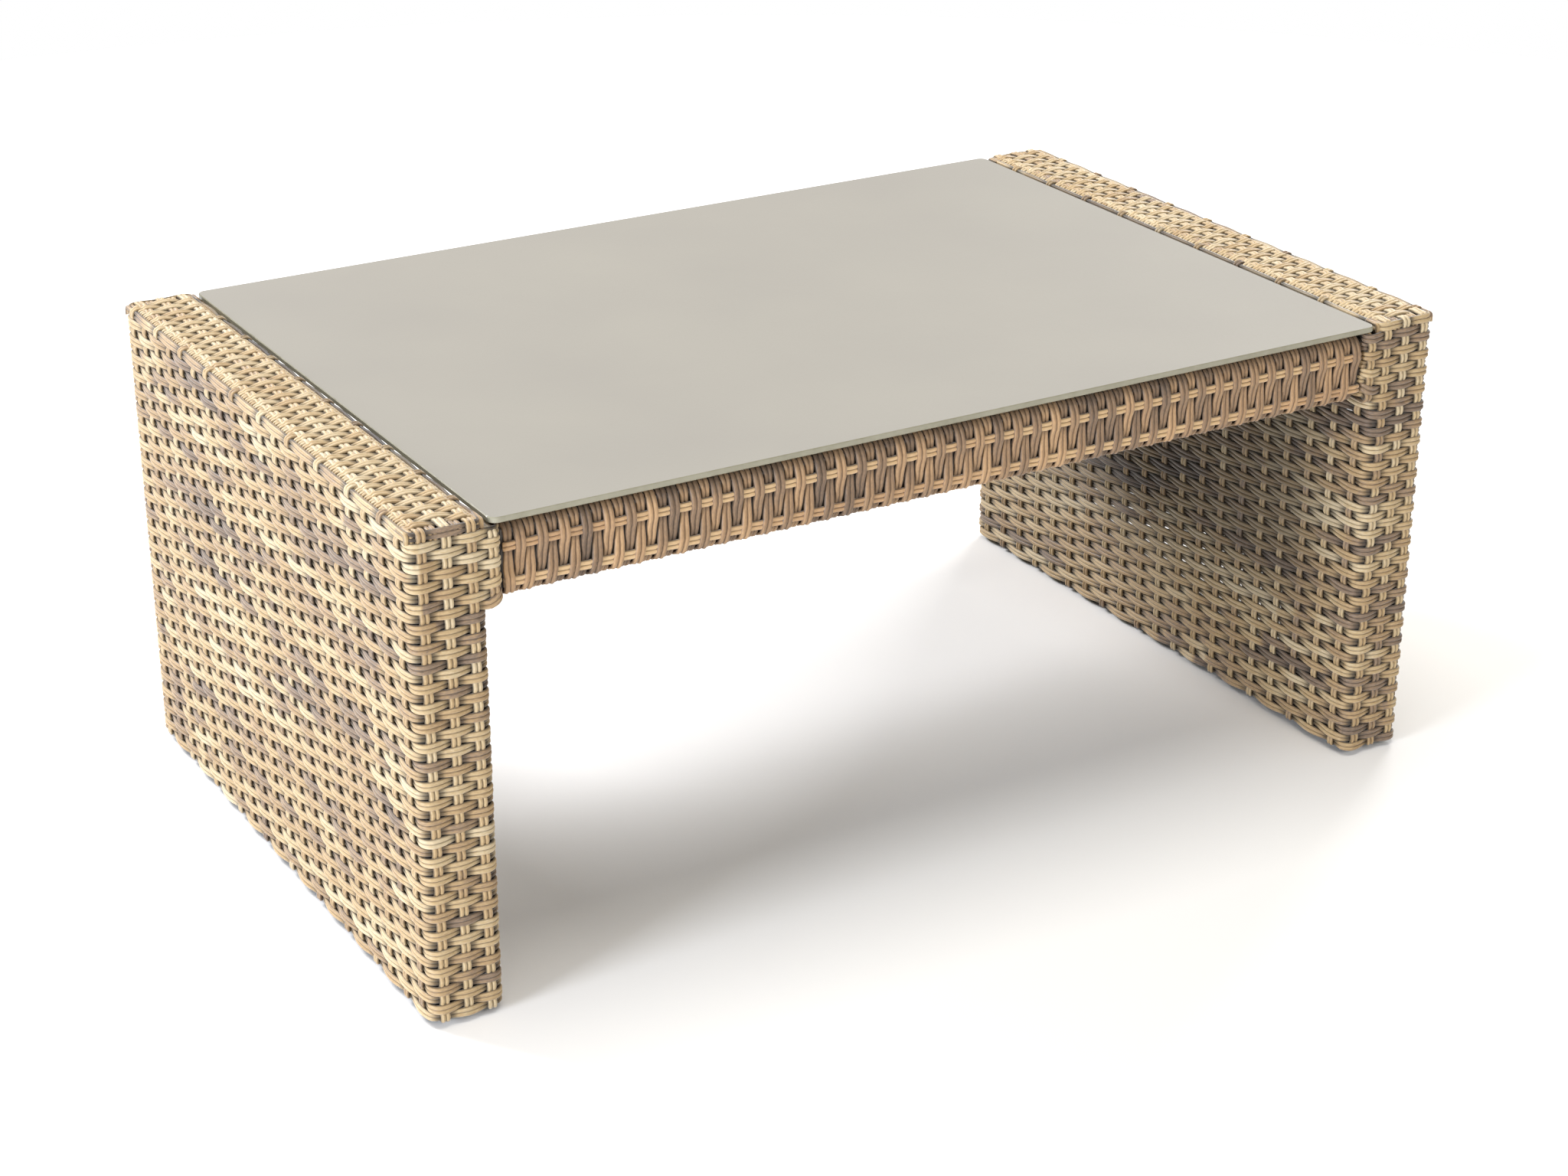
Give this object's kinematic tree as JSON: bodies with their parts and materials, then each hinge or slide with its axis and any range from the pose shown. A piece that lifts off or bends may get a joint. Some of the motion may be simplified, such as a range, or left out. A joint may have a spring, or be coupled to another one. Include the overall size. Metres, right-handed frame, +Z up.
{
  "type": "wicker coffee table",
  "caption": "Low garden coffee table with two woven slab sides, woven aprons and a loose glass top between the sides.",
  "frame": {"origin": "on the floor, midway between the side panels and midway front to back", "axes": "+X along the table from the left panel to the right one, +Y to the back, +Z up"},
  "size_m": [1, 0.62, 0.43],
  "materials": {
    "panel_strand": "twin-rib woven strand, honey, cream and grey mixed",
    "apron_strand": "twin-rib woven strand, brown with tan runners",
    "frame_tube": "dark powder coat",
    "bright_steel": "zinc plated",
    "black_plastic": "moulded",
    "clear_bumper": "clear soft bumper",
    "backed_glass": "5 mm glass, grey backed, polished edge"
  },
  "bodies": {
    "frame": {"left_bottom_rail": "frame_tube", "left_top_rail": "frame_tube", "left_front_post": "frame_tube", "left_back_post": "frame_tube", "left_front_stub": "frame_tube", "left_back_stub": "frame_tube", "left_front_spigot": "bright_steel", "left_back_spigot": "bright_steel", "left_panel_weave": "panel_strand", "left_cap_weave": "panel_strand", "left_front_stub_weave": "panel_strand", "left_back_stub_weave": "panel_strand", "left_foot_glides": "black_plastic", "right_bottom_rail": "frame_tube", "right_top_rail": "frame_tube", "right_front_post": "frame_tube", "right_back_post": "frame_tube", "right_front_stub": "frame_tube", "right_back_stub": "frame_tube", "right_front_spigot": "bright_steel", "right_back_spigot": "bright_steel", "right_panel_weave": "panel_strand", "right_cap_weave": "panel_strand", "right_front_stub_weave": "panel_strand", "right_back_stub_weave": "panel_strand", "right_foot_glides": "black_plastic", "front_apron_rail": "frame_tube", "back_apron_rail": "frame_tube", "front_apron_weave": "apron_strand", "back_apron_weave": "apron_strand", "apron_bolts": "bright_steel", "apron_washers": "bright_steel", "glass_bumpers": "clear_bumper"},
    "glass": {"glass_top": "backed_glass"}
  },
  "joints": [
    {"name": "glass_lift", "type": "slide", "parent": "frame", "child": "glass", "axis": [0, 0, 1], "range_m": [0, 0.15]}
  ]
}
